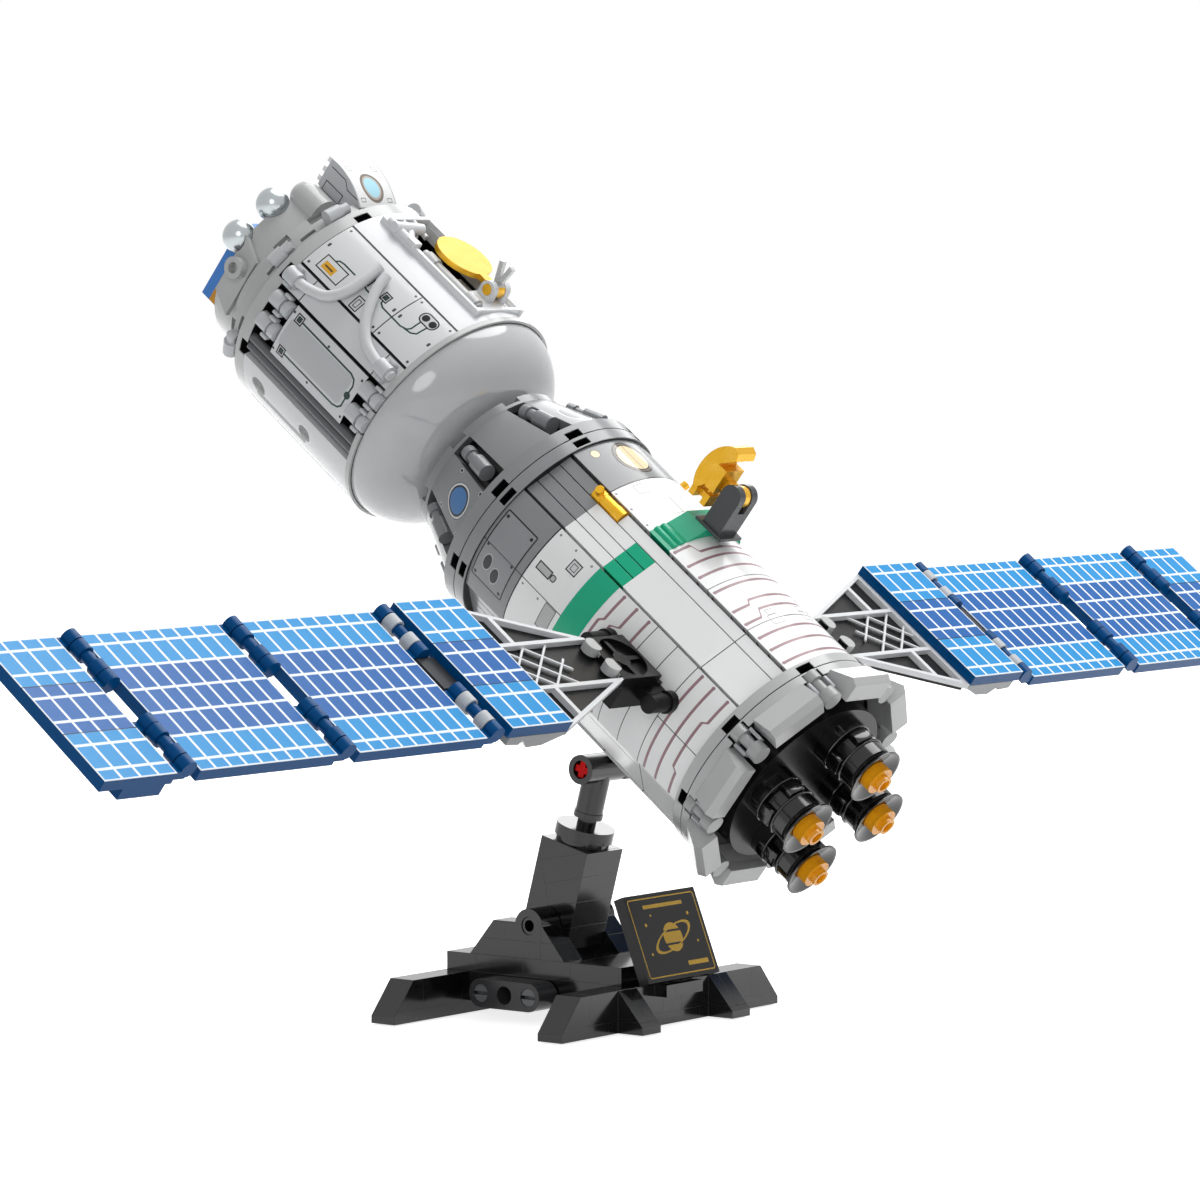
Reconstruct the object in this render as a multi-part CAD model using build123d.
from build123d import *
from math import cos, radians, sin, sqrt, tan
import os

# Brick-built display model of a three-module crewed spacecraft on its stand.
# Millimetres. +Z is up, +Y is the way the nose points over the floor, +X is the right wing.
# The origin is on the floor under the middle of the model's box.

# ---- brick grid and clearances ----
STUD = 8.0
PLATE = 3.2
BAR_R = 1.6
PIN_R = 2.4
SEAT = 0.05
RUN = 0.05
SIDE_GAP = 0.15
SEAM = 0.3

# ---- attitude of the craft on its stand ----
NOSE_UP = 38.0
LUG_DROP = 9.1
LUG_Z = 11.0
LUG_X = 8.1

# ---- stand ----
LEG_SPAN = 96.0
LEG_DEPTH = 8.0
LEG_H = 11.2
LEG_PITCH = 56.0
FOOT_RUN = 8.0
FOOT_TIP = 2.0
SPUR_RUN = 8.0
SPUR_W = 8.0
BODY_W = 32.0
BODY_Z0 = 3.2
BODY_H = 12.8
BODY_FRONT = 27.0
LEDGE_W = 16.0
LEDGE_L = 4.0
BEAM_STUDS = 3
BEAM_T = 7.8
BEAM_Y = 5.8
BEAM_Z = 6.9
BEAM_STANDOFF = 0.6
HOLE_R = 2.45
CHEEK_T = 7.8
CHEEK_H = 9.6
CHEEK_FOOT = 32.0
CHEEK_Y = 8.0
HINGE_Y = 4.0
HINGE_Z = 24.8
HINGE_BOSS_R = 4.6
COLUMN_W = 15.8
COLUMN_LEAN = 15.2
COLUMN_LOW = 5.0
COLUMN_TOP = 22.3
CAP_R = 8.0
CAP_H = 4.8
POST_R = 3.75
POST_COLLAR_R = 4.4
HEAD_R = 4.0
HEAD_L = 16.0
HEAD_RISE = 16.3
AXLE_R = 2.4
AXLE_ARM = 1.8
PLAQUE_W = 31.4
PLAQUE_H = 23.9
PLAQUE_T = 3.2
PLAQUE_LEAN = 21.6

# ---- service module ----
HULL_R = 32.0
SHELL_T = 3.2
HULL_AFT = -28.0
BAND_Z = 20.0
BAND_L = 8.0
GREY_Z = 44.0
HULL_FORE = 60.0
STRIP_W = 15.0
STRIP_GAP = 0.8
STRIP_SINK = 1.6
RAMP_HALF = 10.4
RIDGE_ANGLES = (21.8, 25.8)
RIDGE_R = 1.1
AFT_RING_L = 6.0
AFT_SEAM = 3.0
RING_PROUD = 0.6
NOTCH_W = 5.0
NOTCH_L = 2.2
CLIP_NOTCH_W = 5.8
GROOVE = 0.3
PETALS = 8
PETAL_W = 16.0
PETAL_L = 8.8
PETAL_FLARE = 3.0
PETAL_LIP = 2.0
ENGINE_IN = 7.0
ENGINE_L = 8.0
NOZZLE_IN = 15.9
NOZZLE_R = 5.9
NOZZLE_L = 14.0
COLLAR_R = 7.4
NECK_COLLAR_R = 6.9
DISH_R = 8.2
DISH_L = 1.6
DISH_RIM = 0.4
TIP_R = 4.0
TIP_L = 3.2
TIP_STUD_L = 1.7

# ---- re-entry module ----
RE_RING_L = 8.0
RE_RING_PROUD = 0.8
RE_SEAM = 4.0
RE_CORE_IN = 3.8
BELL_L = 19.0
BELL_IN = 11.0
BELL_SHELL_T = 3.0
BAY_ANGLE = 15.0
RIM_L = 2.6
DOME_Z = 90.0
DOME_IN = 0.6

# ---- orbital module ----
ORB_Z = 108.0
ORB_L = 52.0
ORB_R = 34.0
ORB_SHELL_T = 3.2
ORB_AFT_L = 1.6
ORB_FORE_L = 4.0
HATCH_ANGLE = 29.4
SLIM_AT = 293.0
SLIM_ANGLE = 13.0
PORT_AT = 271.8
PORT_ANGLE = 27.6
PORT_INSET = 6.6
LOWER_AT = 229.0
LOWER_ANGLE = 31.0
BELLY_ANGLE = 60.0
ROOF_ANGLE = 59.0
BAY_W = 16.0
BAY_Z = 122.0
BAY_L = 30.0
BAY_DEPTH = 9.0
CLIP_ANGLES = (280.0, 267.2)
RAIL_ANGLES = (254.4, 249.4)
CLIP_R = 2.4
CLIP_L = 7.5
COLLAR_L = 4.4
COLLAR_INSET = (1.4, 5.0)
HOSE_R = 1.5
HOSE_RISE = 0.4
RAIL_R = 1.4

# ---- nose ----
NOSE_STEP_L = 5.0
NOSE_STEP_IN = 3.0
NOTCHED_L = 4.0
NOTCHED_IN = 5.5
NOSE_HUB_IN = 6.5
NOSE_HUB_L = 9.0
BLOCK_W = 32.0
BLOCK_N0 = -19.0
BLOCK_N1 = 5.0
BLOCK_L = 7.5
BALL_R = 4.7
BALL_IN = 7.4
BALL_AHEAD = 2.4
CAP_ANGLE = 331.0
CAP_BALL_R = 4.5
SIDE_PLATE_IN = 5.8
SIDE_PLATE_T = 1.6
BOX_W = 16.0
BOX_IN = 9.5
BOX_RISE = 1.0
RIB_T = 1.5
RIB_PITCH = 3.1

# ---- wings ----
CHORD = 47.6
PANEL_T = 3.2
PANEL_TOP = 11.0
GAP = 8.0
SMALL_W = 24.0
LARGE_W = 48.0
TRUSS_L = 39.4
INNER_RISE = 2.5
FOLD_N = 11.2
KNUCKLE_R = 2.3
FORK_Z = (7.7, 21.9)
FORK_W = 3.2
EAR_Z = (11.2, 18.3)
EAR_W = 3.4
WEB_T = 2.6
MID_BAR_L = 11.2
MID_BAR_T = 1.6
MID_BAR_REACH = 2.9
FRAME_OUT = 2.6
FRAME_W = 16.2
FRAME_TOP = 10.6
FRAME_DISH_R = 7.2
FRAME_DISH_DEEP = 3.2
HUB_R = 2.6
SPOKE_W = 1.4
SPOKE_DROP = 1.2
STUD_AHEAD = 1.4
BRACKET_W = 13.0
BRACKET_H = 7.6
PIN_Z = 12.4
PIN_N = 5.0
SIDE_PIN_R = 2.5
SIDE_COLLAR_R = 3.0
TRUSS_T = 1.6
TRUSS_BAR = 1.3
CELL_OUT = 28.7
LATTICE_T = 0.6
LATTICE_L = 25.0
LATTICE_PITCH = 9.0
LATTICE_TURN = 38.0
UNDER_EDGE = 2.0
UNDER_W = 14.0

# ---- dishes ----
ARM_Z = 19.9
ARM_RISE = 13.4
ARM_T = 7.8
ARM_W = 6.4
ARM_SLOT = 3.4
DISH_TONGUE = 2.6
FOOT_W = 9.4
FOOT_T = 0.9
SCOOP_W = 8.0
DISC_R = 8.5
DISC_T = 1.6
DISC_X = 3.0
DISC_RISE = 2.4
DISC_Z = 133.0
DISC_AXIS_Z = 119.0
DISC_EAR_T = 2.0
TONGUE_W = 3.0
KNUCKLE_WALL = 0.9
PRONG_T = 1.4
PRONG_L = 6.6
PRONG_LEANS = (-18, 9)
TAP_Z = 36.2
TAP_L = 11.0
TAP_R = 2.15
TAP_GAP = 0.2
TAP_PEG_R = 1.2

# ---- sizes that follow from the hulls' radii ----
LUG_DEPTH = HULL_R + LUG_DROP
STRIP_D = HULL_R - STRIP_SINK
AFT_RING_R = HULL_R + RING_PROUD
ENGINE_R = HULL_R - ENGINE_IN
NOZZLE_OFFSET = HULL_R - NOZZLE_IN
RE_RING_R = HULL_R + RE_RING_PROUD
RE_CORE_R = HULL_R - RE_CORE_IN
BELL_FORE_R = HULL_R - BELL_IN
NECK_R = HULL_R / 2
DOME_R = ORB_R - DOME_IN
BAY_FLOOR = ORB_R - BAY_DEPTH
NOSE_STEP_R = ORB_R - NOSE_STEP_IN
NOTCHED_R = ORB_R - NOTCHED_IN
NOSE_HUB_R = ORB_R - NOSE_HUB_IN
BALL_CIRCLE = ORB_R - BALL_IN
SIDE_PLATE_X = ORB_R - SIDE_PLATE_IN
BOX_N0 = ORB_R - BOX_IN
BOX_TOP = ORB_R + BOX_RISE
DISC_N = ORB_R + DISC_RISE
ARM_TOP = HULL_R + ARM_RISE
FRAME_X0 = HULL_R + FRAME_OUT
FRAME_END = FRAME_X0 + FRAME_W
INNER_X = FRAME_END + TRUSS_L
CELL_X = FRAME_END + CELL_OUT


# ---- the craft's own frame: +Z to the nose, -Y out of its top, +X to the right wing ----
LEAN = radians(COLUMN_LEAN)
HEAD_S = COLUMN_TOP + CAP_H + HEAD_RISE
HEAD_Y = HINGE_Y - HEAD_S * sin(LEAN)
HEAD_Z = HINGE_Z + HEAD_S * cos(LEAN)
CRAFT = Pos(0, HEAD_Y, HEAD_Z) * Rot(NOSE_UP - 90, 0, 0) * Pos(0, -LUG_DEPTH, -LUG_Z)
COLUMN = Pos(0, HINGE_Y, HINGE_Z) * Rot(COLUMN_LEAN, 0, 0)
UP = (Align.CENTER, Align.CENTER, Align.MIN)
CORNERS = (45, 135, 225, 315)
TAP_SIDES = (45, 315)
nodes = {}
os.makedirs("parts", exist_ok=True)


def solids_of(shape):
    """The separate solids of a shape, a list of shapes or a compound."""
    if isinstance(shape, (list, tuple)):
        found = []
        for one in shape:
            found += solids_of(one)
        return found
    return list(shape.solids())


def keep(name, pieces, place=Location()):
    """Stores a node's solids at their place in the model."""
    nodes[name] = [place * solid for solid in solids_of(pieces)]


def disc(radius, z0, z1):
    return Pos(0, 0, z0) * Cylinder(radius, z1 - z0, align=UP)


def ring(outer, inner, z0, z1):
    return disc(outer, z0, z1) - disc(inner, z0 - 1, z1 + 1)


def slab(width, r0, r1, z0, z1, angle=0.0, side=0.0):
    """A block on the hull between two distances from the axis, turned to an angle from the top."""
    box = Box(width, r1 - r0, z1 - z0)
    return Rot(0, 0, angle) * Pos(side, -(r0 + r1) / 2, (z0 + z1) / 2) * box


def sector(outer, inner, z0, z1, angle, width):
    """A curved shell piece centred on an angle from the top, width in degrees."""
    reach = 2 * outer
    half = radians(width / 2)
    wedge = Polyline((0, 0), (-reach * tan(half), -reach), (reach * tan(half), -reach), close=True)
    prism = Pos(0, 0, z0) * extrude(make_face(wedge), z1 - z0)
    return Rot(0, 0, angle) * (ring(outer, inner, z0, z1) & prism)


def around(angle, radius, z):
    """The place on the hull at an angle, with -Y still pointing outwards."""
    return Rot(0, 0, angle) * Pos(0, -radius, z)


def cross_rod(radius, x0, x1):
    """A rod along X."""
    return Pos(x0, 0, 0) * Rot(0, 90, 0) * Cylinder(radius, x1 - x0, align=UP)


# ---- stand ----
def stand_legs():
    """Two leg bars with sloped feet, tied by the body's floor."""
    half = LEG_SPAN / 2
    bars = []
    for side in (-1, 1):
        outline = Polyline(
            (-half, 0),
            (half, 0),
            (half, FOOT_TIP),
            (half - FOOT_RUN, LEG_H),
            (FOOT_RUN - half, LEG_H),
            (-half, FOOT_TIP),
            close=True,
        )
        face = Plane.XZ * make_face(outline)
        bar = extrude(face, LEG_DEPTH / 2, both=True)
        bars.append(Pos(0, side * LEG_PITCH / 2, 0) * bar)
    legs = bars[0] + bars[1]
    front = -(LEG_PITCH + LEG_DEPTH) / 2
    for side in (-1, 1):
        spur = Polyline(
            (front + SEAM, 0),
            (front + SEAM, LEG_H),
            (front, LEG_H),
            (front - SPUR_RUN, FOOT_TIP),
            (front - SPUR_RUN, 0),
            close=True,
        )
        wedge = extrude(Plane.YZ * make_face(spur), SPUR_W / 2, both=True)
        legs += Pos(side * (PLAQUE_W + SPUR_W + 2 * SEAM) / 2, 0, 0) * wedge
    floor_l = LEG_PITCH - LEG_DEPTH
    legs += Pos(0, 0, BODY_Z0) * Box(BODY_W, floor_l, LEG_H - BODY_Z0, align=UP)
    ledge = Box(LEDGE_W, LEDGE_L, PLATE, align=(Align.CENTER, Align.MAX, Align.MAX))
    return legs + Pos(0, front, LEG_H) * ledge


def stand_body():
    """Top plates of the body, over the floor and both leg bars."""
    back = (LEG_PITCH + LEG_DEPTH) / 2
    top = BODY_Z0 + BODY_H
    plate = Box(BODY_W, BODY_FRONT + back, top - LEG_H, align=UP)
    return Pos(0, (back - BODY_FRONT) / 2, LEG_H) * plate


def stand_beams():
    """A three-hole beam along each side, with its two end holes filled by pins."""
    beams = []
    for side in (-1, 1):
        x = side * (BODY_W / 2 + BEAM_STANDOFF)
        run = (BEAM_STUDS - 1) * STUD
        bar = Box(BEAM_T, run, STUD - SEAM)
        for end in (-1, 1):
            bar += Pos(0, end * run / 2, 0) * Rot(0, 90, 0) * Cylinder((STUD - SEAM) / 2, BEAM_T)
        for hole in range(BEAM_STUDS):
            bore = Rot(0, 90, 0) * Cylinder(HOLE_R, BEAM_T + 2)
            bar -= Pos(0, (hole - (BEAM_STUDS - 1) / 2) * STUD, 0) * bore
        beams.append(Pos(x + side * BEAM_T / 2, BEAM_Y, BEAM_Z) * bar)
    return beams


def stand_pins():
    """Slotted pins in the beams' end holes, and the column's hinge bosses."""
    pins = []
    for side in (-1, 1):
        x = side * BODY_W / 2
        reach = BEAM_STANDOFF + BEAM_T - SEAM
        for end in (-1, 1):
            pin = Cylinder(HOLE_R - RUN, reach, align=UP)
            pin -= Pos(0, 0, reach) * Box(1.0, 2 * HOLE_R + 1, 3.0)
            y = BEAM_Y + end * (BEAM_STUDS - 1) * STUD / 2
            pins.append(Pos(x, y, BEAM_Z) * Rot(0, 90 * side, 0) * pin)
    return pins


def stand_cheeks():
    """Stepped cheeks that hold the column, each with its hinge boss."""
    cheeks = []
    top = BODY_Z0 + BODY_H
    for side in (-1, 1):
        outline = Polyline(
            (CHEEK_Y - CHEEK_FOOT / 2, top),
            (CHEEK_Y + CHEEK_FOOT / 2, top),
            (CHEEK_Y + CHEEK_FOOT / 2 - CHEEK_H + 1.6, top + CHEEK_H),
            (CHEEK_Y - CHEEK_FOOT / 2 + CHEEK_H - 1.6, top + CHEEK_H),
            close=True,
        )
        cheek = extrude(Plane.YZ * make_face(outline), CHEEK_T / 2, both=True)
        boss = Pos(0, HINGE_Y, HINGE_Z) * Rot(0, 90, 0) * Cylinder(HINGE_BOSS_R, CHEEK_T)
        bore = Pos(0, HINGE_Y, HINGE_Z) * Rot(0, 90, 0) * Cylinder(HOLE_R, CHEEK_T + 2)
        x = side * (COLUMN_W / 2 + SEAM + CHEEK_T / 2)
        cheeks.append(Pos(x, 0, 0) * (cheek + boss - bore))
    return cheeks


def stand_column():
    """The leaning column of side bricks between plates, and its hinge pin through the cheeks."""
    column = Pos(0, 0, -COLUMN_LOW) * Box(COLUMN_W, COLUMN_W, COLUMN_LOW + COLUMN_TOP, align=UP)
    pin_half = COLUMN_W / 2 + SEAM + CHEEK_T - SEAM
    pin = cross_rod(HOLE_R - RUN, -pin_half, pin_half)
    pin -= cross_rod(HOLE_R - 0.9, -pin_half - 1, 4 - pin_half)
    pin -= cross_rod(HOLE_R - 0.9, pin_half - 4, pin_half + 1)
    return column + pin


def stand_cap():
    """Round plate on the column."""
    low = disc(CAP_R - 0.8, COLUMN_TOP, COLUMN_TOP + 1.6)
    return low + disc(CAP_R, COLUMN_TOP + 1.6, COLUMN_TOP + CAP_H)


def stand_post():
    """Post with a collar and a cross head that the axle goes through."""
    base = COLUMN_TOP + CAP_H
    post = disc(POST_R - 1.2, base, base + 2.4)
    post += disc(POST_COLLAR_R - 0.4, base + 2.4, base + 4.0)
    post += disc(POST_R, base + 4.0, HEAD_S)
    head = cross_rod(HEAD_R, -HEAD_L / 2, HEAD_L / 2)
    post += Pos(0, 0, HEAD_S) * head
    return post - Pos(0, 0, HEAD_S) * cross_rod(AXLE_R + RUN, -HEAD_L, HEAD_L)


def stand_axle():
    """The red cross axle through the head and the craft's lug."""
    length = HEAD_L / 2 + LUG_X + STUD
    blade = Box(length, 2 * AXLE_R - 0.4, AXLE_ARM) + Box(length, AXLE_ARM, 2 * AXLE_R - 0.4)
    return Pos(length / 2 - HEAD_L / 2 + 0.6, 0, HEAD_S) * blade


def plaque():
    """Bare plaque plate that leans on the front leg bar, and its thin raised rim."""
    plate = Box(PLAQUE_W, PLAQUE_T, PLAQUE_H, align=(Align.CENTER, Align.MIN, Align.MIN))
    y = -(LEG_PITCH + LEG_DEPTH) / 2 - LEDGE_L
    rise = PLAQUE_T * sin(radians(PLAQUE_LEAN)) + SEAT
    return Pos(0, y, LEG_H + rise) * Rot(-PLAQUE_LEAN, 0, 0) * plate


keep("stand_legs", stand_legs())
keep("stand_body", stand_body())
keep("stand_beams", stand_beams())
keep("stand_pins", stand_pins())
keep("stand_cheeks", stand_cheeks())
keep("stand_column", stand_column(), COLUMN)
keep("stand_post", [stand_cap(), stand_post()], COLUMN)
keep("stand_axle", stand_axle(), COLUMN)
keep("stand_plaque", plaque())


# ---- service module ----
FLAT_D = STRIP_D - SHELL_T
RAMP_TOP = HULL_R + 2.2
CORE_R = HULL_R - SHELL_T - SEAT
AFT_END = HULL_AFT - AFT_RING_L
BAND_END = BAND_Z + BAND_L


def square_core(radius, flat, z0, z1):
    """Round core with four flats at its corners angles, where the strips sit."""
    prism = Rot(0, 0, 45) * Pos(0, 0, z0) * Box(2 * flat, 2 * flat, z1 - z0, align=UP)
    return disc(radius, z0, z1) & prism


def shells(z0, z1):
    """Four curved shells between the strips' channels."""
    width = STRIP_W + 2 * STRIP_GAP
    channels = [slab(width, HULL_R / 2, 2 * HULL_R, z0 - 1, z1 + 1, angle) for angle in CORNERS]
    return ring(HULL_R, HULL_R - SHELL_T, z0, z1) - channels


def board(angle, first, last, z0, z1):
    """A board over some of a strip's four lanes, counted from the strip's lower edge."""
    up = 1 if angle > 180 else -1
    middle = (first + last + 1) / 2 - 2
    width = (last - first + 1) * STRIP_W / 4 - SEAM
    return slab(width, FLAT_D, STRIP_D, z0, z1, angle, up * middle * STRIP_W / 4)


def lanes(z0, z1):
    """The three lower lanes of every strip, a narrow board in each."""
    return [board(angle, lane, lane, z0, z1) for angle in CORNERS for lane in range(3)]


def edge_boards():
    """The long white board on each strip's upper edge, up to the tap or the grey part."""
    made = []
    for angle in CORNERS:
        made.append(board(angle, 3, 3, HULL_AFT, TAP_Z - SEAM if angle in TAP_SIDES else GREY_Z))
    return made


def grey_edges():
    made = []
    for angle in CORNERS:
        start = TAP_Z + TAP_L + SEAM if angle in TAP_SIDES else GREY_Z
        made.append(board(angle, 3, 3, start, HULL_FORE))
    return made


def wide_boards(z0, z1):
    """One wide board over the three lower lanes of every strip."""
    return [board(angle, 0, 2, z0, z1) for angle in CORNERS]


def notched_ring(outer, inner, z0, z1, notch_z0, notch_z1, width=NOTCH_W):
    """A ring with eight notches cut through its wall."""
    turns = [(index + 0.5) * 360 / PETALS for index in range(PETALS)]
    notches = [slab(width, inner - 2, outer + 2, notch_z0, notch_z1, turn) for turn in turns]
    return ring(outer, inner, z0, z1) - notches


def seamed_ring(outer, inner, z0, seam, z1, low, high, low_w=NOTCH_W):
    """Two notched plates, one on the other, with a fine groove where they meet."""
    lower = notched_ring(outer, inner, z0, seam - GROOVE, *low, low_w)
    upper = notched_ring(outer, inner, seam, z1, *high)
    return lower + ring(outer - 2 * GROOVE, inner, seam - GROOVE, seam) + upper


def petals():
    """Wedge petals that flare out behind the aft ring, each on its own thin base plate."""
    inner = CORE_R - 0.5
    out = AFT_RING_R + PETAL_FLARE
    end = AFT_END - PETAL_L
    outline = Polyline(
        (-inner, AFT_END),
        (-AFT_RING_R, AFT_END),
        (-out, end + PETAL_LIP),
        (-out + 1.2, end),
        (-inner - 1.0, end),
        (-inner - 1.0, end + PLATE),
        close=True,
    )
    wedge = extrude(Plane.YZ * make_face(outline), PETAL_W / 2, both=True)
    made = []
    for index in range(PETALS):
        made.append(Rot(0, 0, index * 360 / PETALS) * wedge)
    return made


def petal_clips():
    """Bar-and-clip cylinders in the ring's lower notches, between the petals."""
    made = []
    tail = AFT_END - PETAL_L + 1.0
    for index in range(PETALS):
        clip = disc(PIN_R, AFT_END - 0.6, AFT_END + 2.2) + disc(BAR_R, tail + PLATE, AFT_END - 0.6)
        clip += disc(PIN_R + 0.3, tail, tail + PLATE)
        angle = (index + 0.5) * 360 / PETALS
        made.append(around(angle, CORE_R + PIN_R + 2 * SEAT, 0) * clip)
    return made


def nozzle_places():
    return [Rot(0, 0, 90 * k) * Pos(0, -NOZZLE_OFFSET, AFT_END - ENGINE_L) for k in range(4)]


def nozzle():
    """One engine: a clip collar, a waist, a second collar and a thin hollow dish."""
    body = disc(NOZZLE_R, -NOZZLE_L, 0)
    body += disc(COLLAR_R, -4.2, 0) - slab(5.0, NOZZLE_R, COLLAR_R + 1, -5.0, -1.6, 45)
    body += disc(NECK_COLLAR_R, -NOZZLE_L + 0.4, -NOZZLE_L + 4.6)
    end = -NOZZLE_L - DISH_L
    flare = Pos(0, 0, end + DISH_L / 2) * Cone(DISH_R, NOZZLE_R - 1.0, DISH_L)
    flare += disc(DISH_R, end - DISH_RIM, end)
    hollow = Pos(0, 0, end - DISH_RIM + 0.7) * Cone(DISH_R - 0.6, TIP_R + SEAT, 1.4)
    return body + flare - hollow


def nozzle_tip():
    """Clear round plate with a hollow stud, seated in the dish."""
    top = -NOZZLE_L - DISH_L - DISH_RIM + 1.4
    plate = disc(TIP_R, top - TIP_L, top - SEAT) + disc(PIN_R, top - TIP_L - TIP_STUD_L, top - TIP_L)
    return plate - disc(BAR_R, top - TIP_L - TIP_STUD_L - 1, top - TIP_L)


def green_ramp():
    """Raised middle of the green band at the top, its sloped sides and two ridges beside each."""
    side = RAMP_HALF
    flat = FOOT_W / 2
    outline = Polyline(
        (-side, -STRIP_D + 1.4),
        (-side, -STRIP_D),
        (-flat, -RAMP_TOP),
        (flat, -RAMP_TOP),
        (side, -STRIP_D),
        (side, -STRIP_D + 1.4),
        close=True,
    )
    ramp = Pos(0, 0, BAND_Z) * extrude(make_face(outline), BAND_L)
    for angle in RIDGE_ANGLES:
        for turn in (angle, -angle):
            ramp += around(turn, HULL_R - 0.4, 0) * disc(RIDGE_R, BAND_Z, BAND_END)
    return ramp


def service_core():
    return square_core(CORE_R, FLAT_D, AFT_END, HULL_FORE)


def craft_lug():
    """Beam end under the hull that the stand's axle goes through."""
    outer = Pos(-STUD / 2, LUG_DEPTH, LUG_Z) * cross_rod(STUD / 2, 0, STUD)
    bore = Pos(-STUD, LUG_DEPTH, LUG_Z) * cross_rod(AXLE_R + RUN, 0, 2 * STUD)
    column = Pos(0, (LUG_DEPTH + HULL_R) / 2, LUG_Z) * Box(STUD, LUG_DEPTH - HULL_R + 3, STUD)
    lug = Pos(LUG_X + STUD / 2, 0, 0) * (column + outer - bore)
    return lug - disc(HULL_R + SEAT, HULL_AFT, HULL_FORE)


keep("service_core", service_core(), CRAFT)
keep("service_shells", [shells(HULL_AFT, BAND_Z), shells(BAND_END, GREY_Z)], CRAFT)
white = wide_boards(HULL_AFT, BAND_Z) + lanes(BAND_END, GREY_Z) + edge_boards()
keep("service_strips", white, CRAFT)
keep("green_band", [shells(BAND_Z, BAND_END) + green_ramp(), lanes(BAND_Z, BAND_END)], CRAFT)
keep("fore_shells", shells(GREY_Z, HULL_FORE), CRAFT)
keep("fore_strips", lanes(GREY_Z, HULL_FORE) + grey_edges(), CRAFT)
AFT_JOINT = HULL_AFT - AFT_SEAM
AFT_NOTCHES = ((AFT_END - 1, AFT_JOINT - GROOVE - 0.4), (AFT_JOINT, AFT_JOINT + NOTCH_L))
AFT_WALL = (AFT_RING_R, CORE_R + SEAT, AFT_END, AFT_JOINT, HULL_AFT)
keep("aft_ring", seamed_ring(*AFT_WALL, *AFT_NOTCHES, CLIP_NOTCH_W), CRAFT)
keep("petals", petals(), CRAFT)
keep("petal_clips", petal_clips(), CRAFT)
keep("engine_block", disc(ENGINE_R, AFT_END - ENGINE_L, AFT_END), CRAFT)
keep("nozzles", [place * nozzle() for place in nozzle_places()], CRAFT)
keep("nozzle_tips", [place * nozzle_tip() for place in nozzle_places()], CRAFT)
keep("craft_lug", craft_lug(), CRAFT)


# ---- re-entry module ----
BELL_Z = HULL_FORE + RE_RING_L
BELL_END = BELL_Z + BELL_L
BELL_SLOPE = (RE_CORE_R - BELL_FORE_R) / BELL_L


def frustum(r0, r1, z0, z1):
    return Pos(0, 0, (z0 + z1) / 2) * Cone(r0, r1, z1 - z0)


def reentry_core():
    return disc(RE_CORE_R, HULL_FORE, BELL_Z) + frustum(RE_CORE_R, BELL_FORE_R, BELL_Z, BELL_END)


def bell_shell():
    outer = frustum(RE_CORE_R + BELL_SHELL_T, BELL_FORE_R + BELL_SHELL_T, BELL_Z, BELL_END)
    return outer - frustum(RE_CORE_R + SEAT, BELL_FORE_R + SEAT, BELL_Z, BELL_END)


def reentry_panels():
    """Eight bell panels with open bays between them, and the notched rim ahead of them."""
    reach = 2 * RE_RING_R
    half = radians(BAY_ANGLE / 2)
    wedge = Polyline((0, 0), (-reach * tan(half), -reach), (reach * tan(half), -reach), close=True)
    cut = Pos(0, 0, BELL_Z - 1) * extrude(make_face(wedge), BELL_L + 2)
    return bell_shell() - [Rot(0, 0, (index + 0.5) * 45) * cut for index in range(8)]


def bell_rim():
    outer = BELL_FORE_R + BELL_SHELL_T
    end = BELL_END + RIM_L
    return notched_ring(outer, NECK_R + SEAT, BELL_END, end, BELL_END + 1, end + 1)


def bay_taps():
    """Tap pieces in the eight bays."""
    made = []
    tilt = BELL_SLOPE
    middle = BELL_Z + BELL_L / 2
    radius = (RE_CORE_R + BELL_FORE_R) / 2 + PIN_R * sqrt(1 + tilt * tilt) + SEAT
    for index in range(8):
        angle = (index + 0.5) * 45
        tap = disc(PIN_R, -5.0, 1.0) + disc(BAR_R, 1.0, 6.0) + disc(PIN_R - 0.3, 4.0, 6.4)
        lean = Rot(-20.7, 0, 0)
        made.append(around(angle, radius, middle) * lean * tap)
    return made


keep("reentry_core", reentry_core(), CRAFT)
RE_JOINT = HULL_FORE + RE_SEAM
RE_NOTCHES = ((HULL_FORE + 0.5, HULL_FORE + 0.5 + NOTCH_L), (RE_JOINT, RE_JOINT + NOTCH_L))
RE_WALL = (RE_RING_R, RE_CORE_R + SEAT, HULL_FORE, RE_JOINT, BELL_Z)
keep("reentry_ring", seamed_ring(*RE_WALL, *RE_NOTCHES), CRAFT)
keep("reentry_panels", reentry_panels(), CRAFT)
keep("bell_rim", bell_rim(), CRAFT)
keep("bay_taps", bay_taps(), CRAFT)
keep("neck", disc(NECK_R, BELL_END, DOME_Z), CRAFT)


# ---- orbital module ----
def dome():
    """Smooth bowl that closes the orbital module's aft end."""
    depth = ORB_Z - DOME_Z
    line = Polyline((0, ORB_Z), (0, DOME_Z), (NECK_R, DOME_Z))
    curve = Spline(
        (NECK_R, DOME_Z),
        (DOME_R - 7.4, DOME_Z + 0.30 * depth),
        (DOME_R - 2.0, DOME_Z + 0.64 * depth),
        (DOME_R, ORB_Z),
    )
    top = Line((DOME_R, ORB_Z), (0, ORB_Z))
    face = make_face(Plane.XZ * (line + curve + top))
    return revolve(face, Axis.Z)


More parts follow.
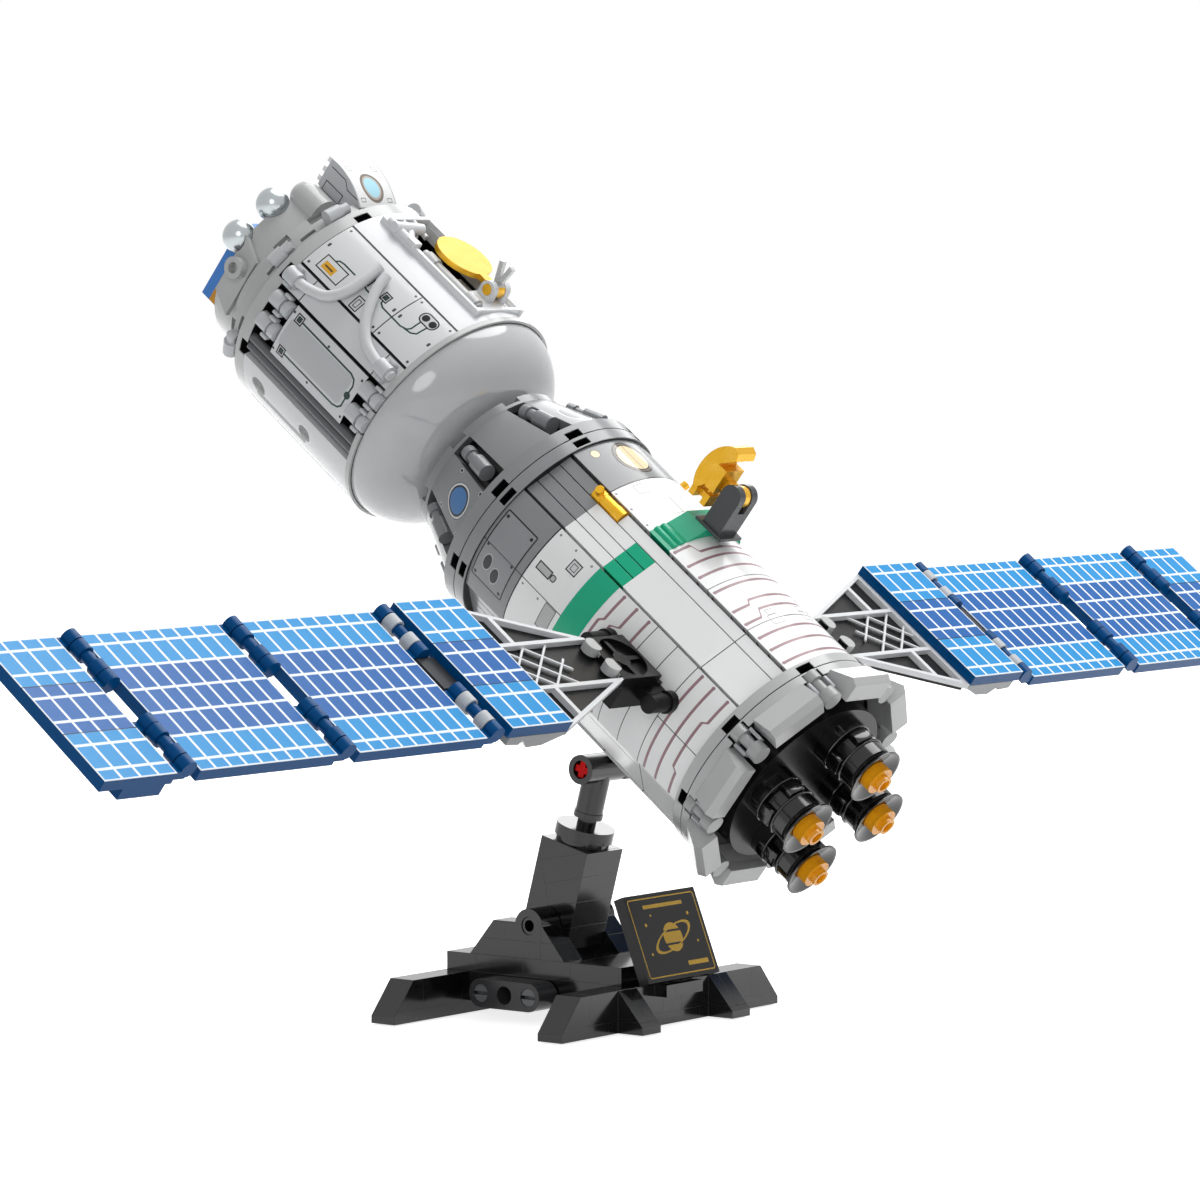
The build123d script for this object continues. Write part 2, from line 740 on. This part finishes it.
ORB_CORE_R = ORB_R - ORB_SHELL_T - SEAT
ORB_END = ORB_Z + ORB_L
SHELL_Z0 = ORB_Z + ORB_AFT_L
SHELL_Z1 = ORB_END - ORB_FORE_L
PORT_Z = (SHELL_Z0 + PORT_INSET, SHELL_Z1 - PORT_INSET - 2.0)
CLIP_Z = (ORB_Z + SEAM, SHELL_Z1 - CLIP_L - 0.5)
COLLAR_Z = (SHELL_Z0 + COLLAR_INSET[0], SHELL_Z1 - COLLAR_INSET[1])
HOSE_AT = ORB_R + HOSE_R + HOSE_RISE


def mirrored(angles):
    return list(angles) + [360 - angle for angle in angles]


def bay_space(margin=0.0):
    width = BAY_W + 2 * margin
    return slab(width, BAY_FLOOR, 2 * ORB_R, BAY_Z - margin, BAY_Z + BAY_L + margin)


def orbital_core():
    return disc(ORB_CORE_R, ORB_Z, ORB_END) - bay_space()


def clip_spots():
    """The places of the end clips: angle and lower z of each."""
    spots = []
    for angle in mirrored(CLIP_ANGLES):
        for z in CLIP_Z:
            spots.append((angle, z))
    return spots


CLIP_AT = ORB_CORE_R + CLIP_R + SEAT


def orbital_clips():
    made = []
    for angle, z in clip_spots():
        clip = disc(CLIP_R, 0, 2.4) + disc(BAR_R, 2.4, 3.2) + disc(CLIP_R, 3.2, CLIP_L)
        made.append(around(angle, CLIP_AT, z) * clip)
    for angle in mirrored((SLIM_AT,)):
        for z in COLLAR_Z:
            collar = disc(CLIP_R, 0, COLLAR_L) - disc(HOSE_R + RUN, -1, COLLAR_L + 1)
            made.append(around(angle, HOSE_AT, z) * collar)
    return made


def clip_room(shape, margin=0.3):
    room = Box(2 * CLIP_R + 2 * margin, 14, CLIP_L + 2 * margin, align=UP)
    room = Pos(0, -7 + CLIP_R + margin, 0) * room
    return shape - [around(angle, CLIP_AT, z - margin) * room for angle, z in clip_spots()]


def slim_panel(angle):
    """Narrow panel beside the hatch, hollowed under the hoses' collars."""
    panel = sector(ORB_R, ORB_CORE_R + SEAT, SHELL_Z0, SHELL_Z1, angle, SLIM_ANGLE)
    room = disc(CLIP_R + SEAM, -SEAM, COLLAR_L + SEAM)
    return panel - [around(angle, HOSE_AT, z) * room for z in COLLAR_Z]


def orbital_hatch():
    """Curved hatch panels at both upper corners."""
    panels = []
    for angle in (45, 315):
        panels.append(sector(ORB_R, ORB_CORE_R + SEAT, SHELL_Z0, SHELL_Z1, angle, HATCH_ANGLE))
    return panels


def orbital_sides():
    """Side panels between the clips, and the lower and belly panels."""
    panels = []
    for angle in mirrored((PORT_AT,)):
        panels.append(sector(ORB_R, ORB_CORE_R + SEAT, *PORT_Z, angle, PORT_ANGLE))
    for angle in mirrored((SLIM_AT,)):
        panels.append(slim_panel(angle))
    for angle in mirrored((LOWER_AT,)):
        panels.append(sector(ORB_R, ORB_CORE_R + SEAT, SHELL_Z0, SHELL_Z1, angle, LOWER_ANGLE))
    panels.append(sector(ORB_R, ORB_CORE_R + SEAT, SHELL_Z0, SHELL_Z1, 180, BELLY_ANGLE))
    return panels


def orbital_rails():
    """Long rods in the dark channels above the lower panels."""
    made = []
    for angle in mirrored(RAIL_ANGLES):
        rail = disc(RAIL_R, 0, SHELL_Z1 - SHELL_Z0)
        made.append(around(angle, ORB_CORE_R + BAR_R + SEAT, SHELL_Z0) * rail)
    return made


def orbital_rings():
    aft = ring(ORB_R + 0.4, ORB_CORE_R + SEAT, ORB_Z, SHELL_Z0)
    fore = notched_ring(ORB_R, ORB_CORE_R + SEAT, SHELL_Z1, ORB_END, SHELL_Z1 - 1, ORB_END - 1.6)
    return [clip_room(aft), clip_room(fore)]


def roof_frame():
    """Curved roof with the bay's opening, and the disc's two ears behind it."""
    low = sector(ORB_R, ORB_CORE_R + SEAT, SHELL_Z0, SHELL_Z1, 0, ROOF_ANGLE)
    for side in (-1, 1):
        x = DISC_X + side * (TONGUE_W + DISC_EAR_T + 2 * SIDE_GAP) / 2
        foot = Pos(x, -(DISC_N + ORB_R - 1.0) / 2, DISC_AXIS_Z)
        low += foot * Box(DISC_EAR_T, DISC_N - ORB_R + 1.0, 2 * (BAR_R + KNUCKLE_WALL))
        start = DISC_X + side * (TONGUE_W / 2 + SIDE_GAP)
        ends = sorted((start, start + side * DISC_EAR_T))
        low += Pos(0, -DISC_N, DISC_AXIS_Z) * cross_rod(BAR_R + KNUCKLE_WALL, *ends)
    low -= Pos(0, -DISC_N, DISC_AXIS_Z) * cross_rod(BAR_R + RUN, DISC_X - STUD, DISC_X + STUD)
    return low - bay_space(SEAM)


def bay_parts():
    """Cylinder, ladder bars and lens block in the open bay."""
    tank = Pos(-2.6, -BAY_FLOOR - 2.6, BAY_Z + 3.0) * disc(2.6, 0, BAY_L - 8.0)
    tank += Pos(-2.6, -BAY_FLOOR - 2.6, BAY_Z + 3.0) * disc(3.2, 3.0, 5.0)
    tank = tank & slab(2 * BAY_W, BAY_FLOOR, 2 * ORB_R, BAY_Z, BAY_Z + BAY_L)
    lens = slab(6.0, BAY_FLOOR, BAY_FLOOR + 4.0, BAY_Z + 3.0, BAY_Z + 11.0, 0, 4.6)
    return [tank, lens]


def hose(points, radius=HOSE_R):
    """A tube along straight runs joined by tangent arcs as large as the runs allow."""
    spots = [Vector(*point) for point in points]
    radii = []
    for before, here, after in zip(spots, spots[1:], spots[2:]):
        turn = radians((here - before).get_angle(after - here))
        shorter = min((here - before).length, (after - here).length)
        radii.append(0.45 * shorter / tan(turn / 2))
    path = FilletPolyline(*spots, radius=radii)
    print("hose radii", [round(value, 1) for value in radii])
    return sweep(Plane(origin=path @ 0, z_dir=path % 0) * Circle(radius), path)


def on_hull(angle, radius, z):
    return (radius * sin(radians(angle)), -radius * cos(radians(angle)), z)


def hoses():
    """Two flexible hoses over each hatch panel, from the end collars to a joint near the bay."""
    low, high = COLLAR_Z
    fore = [
        (SLIM_AT, high + COLLAR_L - 0.6),
        (SLIM_AT, high - 2.2),
        (296.8, high - 9.4),
        (304.5, high - 12.6),
        (314.0, high - 13.2),
        (323.5, high - 12.4),
    ]
    aft = [
        (322.5, high - 15.9),
        (315.5, high - 17.4),
        (307.6, high - 20.4),
        (300.5, low + 16.4),
        (295.2, low + 11.8),
        (SLIM_AT, low + 6.2),
        (SLIM_AT, low - 1.0),
    ]
    return [hose([on_hull(angle, HOSE_AT, z) for angle, z in line]) for line in (fore, aft)]


keep("dome", dome(), CRAFT)
keep("orbital_core", orbital_core(), CRAFT)
keep("orbital_hatches", orbital_hatch(), CRAFT)
keep("orbital_sides", orbital_sides(), CRAFT)
keep("orbital_roof", roof_frame(), CRAFT)
keep("orbital_rings", orbital_rings(), CRAFT)
keep("orbital_rails", orbital_rails(), CRAFT)
keep("bay_parts", bay_parts(), CRAFT)
keep("hoses", hoses(), CRAFT)


# ---- nose ----
STEP_END = ORB_END + NOSE_STEP_L
NOTCHED_END = STEP_END + NOTCHED_L
HUB_END = NOTCHED_END + NOSE_HUB_L
BLOCK_END = HUB_END + BLOCK_L
NOSE_END = BLOCK_END + PLATE
BALL_ANGLES = (285.0, 312.5)
NOTCH_ANGLES = (36.0, 60.0, 120.0, 144.0)
SLOT_ANGLES = (48.0, 72.0, 108.0, 132.0)
TAP_ANGLES = (240.0, 295.0, 328.5)
BOX_Z0 = ORB_END + 3.0
BOX_Z1 = BOX_Z0 + 16.0


def ball_places():
    return [around(angle, BALL_CIRCLE, HUB_END + BALL_AHEAD) for angle in mirrored(BALL_ANGLES)]


def nose_hub():
    """Three round layers with slots, notches and ball sockets, and the two round caps."""
    width = 5.0
    slots = []
    for angle in mirrored(SLOT_ANGLES):
        slots.append(slab(width, NOSE_STEP_R - 1.6, 40, ORB_END + 2.4, ORB_END + 3.4, angle))
    for angle in mirrored(NOTCH_ANGLES):
        slots.append(slab(width, NOTCHED_R - 2.0, 40, STEP_END + 1.3, NOTCHED_END - 0.1, angle))
    hub = disc(NOSE_STEP_R, ORB_END, STEP_END) + disc(NOTCHED_R, STEP_END, NOTCHED_END)
    hub += disc(NOSE_HUB_R, NOTCHED_END, HUB_END)
    for angle in mirrored((CAP_ANGLE,)):
        cap = disc(CAP_BALL_R, NOTCHED_END, HUB_END - 1.4) + Pos(0, 0, HUB_END - 1.4) * Sphere(CAP_BALL_R)
        hub += around(angle, BALL_CIRCLE, 0) * cap
    sockets = [place * Sphere(BALL_R + SEAT) for place in ball_places()]
    room = slab(BOX_W + 2 * SEAM, BOX_N0 - SEAM, 2 * ORB_R, BOX_Z0 - SEAM, NOSE_END)
    flats = []
    for side in (-1, 1):
        x = side * (SIDE_PLATE_X - SIDE_PLATE_T - SEAT + STUD / 2)
        flats.append(Pos(x, 0, (NOTCHED_END + HUB_END) / 2) * Box(STUD, BOX_W * 3, NOSE_HUB_L + SEAT))
    return hub - slots - sockets - [room] - flats


def nose_balls():
    """Chrome balls in the hub's sockets."""
    return [place * Sphere(BALL_R) for place in ball_places()]


def instrument_box():
    """Box on top of the nose with a curved back and a ribbed front."""
    top = BOX_TOP
    back = BOX_TOP - 4.6
    middle = BOX_TOP - 4.3
    low = Polyline(
        (-back, BOX_Z0),
        (-BOX_N0, BOX_Z0),
        (-BOX_N0, BOX_Z0 + 7.0),
        (-BOX_N0 - 1.9, BOX_Z1),
        (-top, BOX_Z1),
    )
    bends = ((-top + 0.3, BOX_Z0 + 9.8), (-top + 2.0, BOX_Z0 + 4.4))
    curve = Spline((-top, BOX_Z1), *bends, (-back, BOX_Z0))
    box = extrude(Plane.YZ * make_face(low + curve), BOX_W / 2, both=True)
    for step in (-1, 0, 1):
        rib = slab(BOX_W - 2.0, middle - RIB_T / 2, middle + RIB_T / 2, BOX_Z1 - 1, BOX_Z1 + 1.8)
        box += Pos(0, -step * RIB_PITCH, 0) * rib
    return box


def side_plates():
    """Flat plates on the hub's sides, each with a round hollow pin."""
    outline = Polyline(
        (-9.8, HUB_END - 1.0),
        (8.4, HUB_END - 1.0),
        (12.0, NOTCHED_END + 0.6),
        (-6.0, NOTCHED_END + 0.6),
        close=True,
    )
    plate = extrude(Plane.YZ * make_face(outline), SIDE_PLATE_T / 2, both=True)
    plate = Pos(SIDE_PLATE_X - SIDE_PLATE_T / 2, 0, 0) * plate
    pin = Pos(SIDE_PLATE_X - 0.8, -1.4, (NOTCHED_END + HUB_END) / 2) * cross_rod(3.1, 0, 3.6)
    hole = Pos(SIDE_PLATE_X, -1.4, (NOTCHED_END + HUB_END) / 2) * cross_rod(1.6, 0.6, 4)
    rooms = [mirror(place * Sphere(BALL_R + SEAM), Plane.YZ) for place in ball_places()]
    right = plate + pin - hole - rooms
    return [right, mirror(right, Plane.YZ)]


def nose_block():
    """Oblong block ahead of the hub."""
    return slab(BLOCK_W, BLOCK_N0, BLOCK_N1, HUB_END, BLOCK_END)


def nose_plate():
    """Plate on the front of the block, with four studs."""
    plate = slab(BLOCK_W, BLOCK_N0, BLOCK_N1, BLOCK_END, NOSE_END)
    middle = (BLOCK_N0 + BLOCK_N1) / 2
    for x in (-STUD / 2, STUD / 2):
        for n in (middle - STUD / 2, middle + STUD / 2):
            plate += Pos(x, -n, 0) * disc(PIN_R, NOSE_END - 1, NOSE_END + 1.7)
    return plate


def nose_taps():
    """Short round taps lying across the nose's widest layer."""
    made = []
    for angle in mirrored(TAP_ANGLES):
        tap = cross_rod(2.2, -3.0, 1.6) + cross_rod(BAR_R, 1.6, 4.2)
        made.append(around(angle, NOSE_STEP_R + 2.2 + SEAT, ORB_END + 2.6) * tap)
    return made


keep("nose_hub", nose_hub(), CRAFT)
keep("nose_balls", nose_balls(), CRAFT)
keep("instrument_box", instrument_box(), CRAFT)
keep("side_plates", side_plates(), CRAFT)
keep("nose_block", nose_block(), CRAFT)
keep("nose_plate", nose_plate(), CRAFT)
keep("orbital_clips", orbital_clips() + nose_taps(), CRAFT)


# ---- wings ----
def fold_x(index):
    """Distance of a fold's axis from the middle of the craft."""
    edges = [INNER_X + SMALL_W, LARGE_W + GAP, LARGE_W + GAP]
    return sum(edges[: index + 1]) + GAP / 2


def block(x0, x1, n0, n1, z0, z1):
    """A block between two values each of X, height above the axis, and Z."""
    return Pos((x0 + x1) / 2, -(n0 + n1) / 2, (z0 + z1) / 2) * Box(x1 - x0, n1 - n0, z1 - z0)


def panel(x0, width, top):
    """One wing panel."""
    return block(x0, x0 + width, top - PANEL_T, top, -CHORD / 2, CHORD / 2)


def knuckle(index, outward, width, z):
    """An ear from a panel's edge round the fold's bar; outward is +1 for the outboard panel."""
    x = fold_x(index)
    ends = sorted((x, x + outward * (GAP / 2 + 0.4)))
    web = block(*ends, FOLD_N - WEB_T, FOLD_N - 0.3, z - width / 2, z + width / 2)
    return web + Pos(x, -FOLD_N, z) * Cylinder(KNUCKLE_R, width)


def inboard_ears(index):
    """The ears on the inboard panel, with running bores."""
    made = []
    for side in (-1, 1):
        for z in EAR_Z:
            bore = Pos(fold_x(index), -FOLD_N, side * z) * Cylinder(BAR_R + RUN, EAR_W + 2)
            made.append(knuckle(index, -1, EAR_W, side * z) - bore)
    return made


def outboard_forks(index):
    """The forks on the outboard panel, and the bars that they hold."""
    made = []
    for side in (-1, 1):
        fork = Pos(fold_x(index), -FOLD_N, side * sum(FORK_Z) / 2) * Cylinder(BAR_R, FORK_Z[1] - FORK_Z[0])
        for z in FORK_Z:
            fork += knuckle(index, 1, FORK_W, side * z)
        made.append(fork)
    return made


def fused(first, others):
    for other in others:
        first = first + other
    return first


INNER_TOP = PANEL_TOP + INNER_RISE
INNER_END = INNER_X + SMALL_W
INNER_LOW = INNER_TOP - PANEL_T


def inner_panel():
    """Small inner panel, which stands a little higher than the rest, its ears and middle bar."""
    base = panel(INNER_X, SMALL_W, INNER_TOP)
    reach = fold_x(0) + MID_BAR_REACH
    half = MID_BAR_L / 2
    base += block(INNER_END - 1.6, reach, INNER_LOW - MID_BAR_T / 2, INNER_LOW + MID_BAR_T / 2, -half, half)
    return fused(base, inboard_ears(0))


def moving_panel(index, width, ears):
    x0 = fold_x(index) + GAP / 2
    piece = fused(panel(x0, width, PANEL_TOP), outboard_forks(index))
    if ears:
        return fused(piece, inboard_ears(index + 1))
    low = PANEL_TOP - PANEL_T
    start = x0 + UNDER_EDGE
    under = block(start, start + UNDER_W, low - PANEL_T, low, FORK_Z[0] - 1, CHORD / 2)
    return piece + under + mirror(under, Plane.XY)


def truss_outline(x0, x1, inset):
    slope = (CHORD - FRAME_W) / 2 / (INNER_X - FRAME_END)
    half0 = FRAME_W / 2 + slope * (x0 - FRAME_END) - inset
    half1 = FRAME_W / 2 + slope * (x1 - FRAME_END) - inset
    return Polyline((x0, -half0), (x1, -half1), (x1, half1), (x0, half0), close=True)


def truss_plate(x0, x1, inset, n0, n1):
    face = make_face(Plane.XZ * truss_outline(x0, x1, inset))
    return Pos(0, -n0, 0) * extrude(face, n1 - n0)


def wing_truss():
    """Trapezoid of bars from the frame to the inner panel, and the wedge blocks under the panel."""
    low = FRAME_TOP - TRUSS_T
    bars = truss_plate(FRAME_END + SEAT, INNER_X - SEAT, 0, low, FRAME_TOP)
    lane = FRAME_W / 2 - TRUSS_BAR / 2
    middle = block(FRAME_END - 1.0, INNER_X - 2, low - 1, FRAME_TOP + 1, -lane, lane)
    cells = [middle]
    for x0, x1 in ((FRAME_END + 5.0, CELL_X - TRUSS_T / 2), (CELL_X + TRUSS_T / 2, INNER_X - 2)):
        opening = truss_plate(x0, x1, TRUSS_BAR, low - 1, FRAME_TOP + 1)
        lane_cut = block(x0 - 1, x1 + 1, low - 2, FRAME_TOP + 2, -lane - TRUSS_BAR, lane + TRUSS_BAR)
        cells.append(opening - lane_cut)
    bars = bars - cells
    outline = Polyline(
        (INNER_END - 1.6, -INNER_LOW + SEAM),
        (INNER_END - 1.6, -7.6),
        (INNER_END - 7.0, -7.2),
        (INNER_END - 8.0, -8.4),
        (INNER_END - 11.0, -6.0),
        (INNER_END - 17.0, -6.2),
        (INNER_X - SEAT, -FRAME_TOP + TRUSS_T),
        (INNER_X - SEAT, -INNER_LOW + SEAM),
        close=True,
    )
    wedge = extrude(make_face(outline), (CHORD - 0.4) / 2, both=True)
    bars += wedge
    x0, x1 = INNER_X - LATTICE_L, INNER_X - 2.0
    for step in (-1, 0, 1):
        for turn in (-1, 1):
            middle = Pos((x0 + x1) / 2 + step * LATTICE_PITCH, LATTICE_T * 1.5 - FRAME_TOP, 0)
            strip = middle * Rot(0, turn * LATTICE_TURN, 0) * Box(INNER_X, LATTICE_T, LATTICE_T)
            bars += strip & block(x0, x1, low, FRAME_TOP, -lane - 0.5, lane + 0.5)
    return bars


def wing_frame():
    """Square plate with a spoked round dish, on a bracket with two side pins."""
    half = FRAME_W / 2
    middle = FRAME_X0 + half
    frame = block(FRAME_X0, FRAME_END, FRAME_TOP - PANEL_T, FRAME_TOP, -half, half)
    dish = Pos(middle, -FRAME_TOP, 0) * Rot(90, 0, 0) * Cylinder(FRAME_DISH_R, FRAME_DISH_DEEP)
    spokes = Box(2 * FRAME_DISH_R, STUD / 2, SPOKE_W) + Box(SPOKE_W, STUD / 2, 2 * FRAME_DISH_R)
    spokes += Rot(90, 0, 0) * Cylinder(HUB_R, STUD / 2)
    frame -= dish - Pos(middle, SPOKE_DROP + SPOKE_W - FRAME_TOP, 0) * spokes
    for z in (-STUD / 2, STUD / 2):
        stud = Pos(FRAME_END + STUD_AHEAD, TRUSS_T / 2 - FRAME_TOP, z)
        frame += stud * Rot(90, 0, 0) * Cylinder(PIN_R, PLATE + TRUSS_T)
    low = FRAME_TOP - PANEL_T
    frame += block(HULL_R / 2, FRAME_X0 + BRACKET_W, low - BRACKET_H, low, -half + 0.6, half - 0.6)
    for side in (-1, 1):
        pin = Pos(0, -PIN_N, side * PIN_Z) * cross_rod(SIDE_PIN_R, HULL_R / 2, FRAME_X0 + 6.0)
        pin += Pos(0, -PIN_N, side * PIN_Z) * cross_rod(SIDE_COLLAR_R, HULL_R / 2, FRAME_X0 - 1.0)
        web = sorted((side * (half - 1.0), side * PIN_Z))
        frame += pin + block(HULL_R / 2, FRAME_X0 + 5.0, PIN_N - 1.6, PIN_N + 1.6, *web)
    top = FRAME_TOP - TRUSS_T - SEAT
    under = truss_plate(FRAME_END - 1.0, INNER_X - 1.0, TRUSS_BAR / 2, low + 0.4, top)
    return frame + under - disc(HULL_R + SEAT, HULL_AFT, HULL_FORE)


def mirror_wing(shape, side):
    return shape if side > 0 else mirror(shape, Plane.YZ)


for side, word in ((-1, "left"), (1, "right")):
    keep("%s_frame" % word, mirror_wing(wing_frame(), side), CRAFT)
    keep("%s_truss" % word, mirror_wing(wing_truss(), side), CRAFT)
    keep("%s_inner_panel" % word, mirror_wing(inner_panel(), side), CRAFT)
    keep("%s_panel_a" % word, mirror_wing(moving_panel(0, LARGE_W, True), side), CRAFT)
    keep("%s_panel_b" % word, mirror_wing(moving_panel(1, LARGE_W, True), side), CRAFT)
    keep("%s_outer_panel" % word, mirror_wing(moving_panel(2, SMALL_W, False), side), CRAFT)


# ---- dishes ----
def dish_arm():
    """Forked arm with a round top on a thin foot on the green band; a pin crosses the fork."""
    arm = slab(ARM_T, RAMP_TOP + SEAT, ARM_TOP, ARM_Z - ARM_W / 2, ARM_Z + ARM_W / 2)
    arm += slab(FOOT_W, RAMP_TOP + SEAT, RAMP_TOP + FOOT_T, BAND_Z - 5.0, BAND_Z + 5.0)
    axis = Pos(0, -ARM_TOP, ARM_Z)
    arm += axis * cross_rod(ARM_W / 2, -ARM_T / 2, ARM_T / 2)
    room = DISH_TONGUE + 2 * SIDE_GAP
    arm -= slab(room, ARM_TOP - ARM_SLOT, ARM_TOP + ARM_W, ARM_Z - ARM_W, ARM_Z + ARM_W)
    return arm + axis * cross_rod(BAR_R, -room / 2 - 1, room / 2 + 1)


def dish_slab(width, n0, n1, z0, z1):
    """A block on the dish, measured from the arm's pin."""
    return slab(width, ARM_TOP + n0, ARM_TOP + n1, ARM_Z + z0, ARM_Z + z1)


def gold_dish():
    """Gold curved scoop with a block and clips behind it, on a tongue round the arm's pin."""
    bowl = ((-5.7, 10.9), (-2.0, 12.7), (1.8, 12.9), (7.6, 11.0), (11.2, 6.6))
    back = ((11.2, 6.6), (10.4, 4.8), (8.4, 4.2), (4.7, 8.1), (-2.0, 8.1), (-5.7, 10.9))
    outer, inner = [[(-ARM_TOP - n, ARM_Z + z) for n, z in line] for line in (bowl, back)]
    scoop = make_face(Plane.YZ * (Spline(*outer) + Polyline(*inner)))
    dish = extrude(scoop, SCOOP_W / 2, both=True)
    dish += dish_slab(SCOOP_W, -2.8, 4.4, 5.0, 8.3)
    dish += dish_slab(TONGUE_W, -7.0, -5.2, 5.5, 11.9)
    dish += dish_slab(SCOOP_W - 1.4, -7.8, -4.4, 5.5, 7.3)
    dish += dish_slab(SCOOP_W - 1.4, -7.8, -4.8, 10.1, 11.9)
    dish += dish_slab(DISH_TONGUE, -7.0, -2.0, 6.1, 8.1)
    dish += dish_slab(DISH_TONGUE, -1.8, 1.8, 0, 5.5)
    axis = Pos(0, -ARM_TOP, ARM_Z)
    dish += axis * cross_rod(ARM_W / 2 - 0.3, -DISH_TONGUE / 2, DISH_TONGUE / 2)
    return dish - axis * cross_rod(BAR_R + RUN, -DISH_TONGUE, DISH_TONGUE)


def gold_disc():
    """Flat gold disc over the bay, hinged at its aft edge."""
    plate = Pos(DISC_X, -DISC_N, DISC_Z) * Rot(90, 0, 0) * Cylinder(DISC_R, DISC_T)
    tongue_l = DISC_Z - DISC_AXIS_Z
    plate += Pos(DISC_X, -DISC_N, DISC_Z - tongue_l / 2) * Box(TONGUE_W, DISC_T, tongue_l)
    half = TONGUE_W / 2 + SIDE_GAP + DISC_EAR_T
    axis = Pos(0, -DISC_N, DISC_AXIS_Z)
    plate += axis * cross_rod(BAR_R + KNUCKLE_WALL - 0.2, DISC_X - TONGUE_W / 2, DISC_X + TONGUE_W / 2)
    for lean in PRONG_LEANS:
        prong = Rot(lean, 0, 0) * Pos(0, -BAR_R - PRONG_L / 2, 0) * Box(PRONG_T, PRONG_L, PRONG_T)
        plate += Pos(DISC_X, -DISC_N, DISC_AXIS_Z) * prong
    return plate + axis * cross_rod(BAR_R, DISC_X - half, DISC_X + half)


def gold_taps():
    """A gold tap in the upper lane of each upper strip, ahead of the green band."""
    tap = disc(TAP_R, 0, PLATE) + disc(BAR_R + 0.4, PLATE, TAP_L - PLATE)
    tap += disc(TAP_R, TAP_L - PLATE, TAP_L)
    tap += Pos(0, -TAP_R, TAP_L - PLATE / 2) * Rot(90, 0, 0) * Cylinder(TAP_PEG_R, PLATE)
    made = []
    for angle in TAP_SIDES:
        side = (1 if angle > 180 else -1) * (STRIP_W / 2 + STRIP_GAP - TAP_GAP - TAP_R)
        made.append(Rot(0, 0, angle) * Pos(side, -FLAT_D - TAP_R - SEAT, TAP_Z) * tap)
    return made


keep("dish_arm", dish_arm(), CRAFT)
keep("gold_dish", gold_dish(), CRAFT)
keep("gold_disc", gold_disc(), CRAFT)
keep("gold_taps", gold_taps(), CRAFT)


# ---- the origin goes on the floor under the middle of the box ----
boxes = [solid.bounding_box() for pieces in nodes.values() for solid in pieces]
low_y = min(box.min.Y for box in boxes)
high_y = max(box.max.Y for box in boxes)
SHIFT = Pos(0, -(low_y + high_y) / 2, 0)
for name, pieces in nodes.items():
    export_step(Compound([SHIFT * solid for solid in pieces]), "parts/%s.step" % name)
print("nodes", len(nodes), "solids", len(boxes), "shift", SHIFT.position.Y)
print("craft axis point", CRAFT.position, "top", max(box.max.Z for box in boxes))
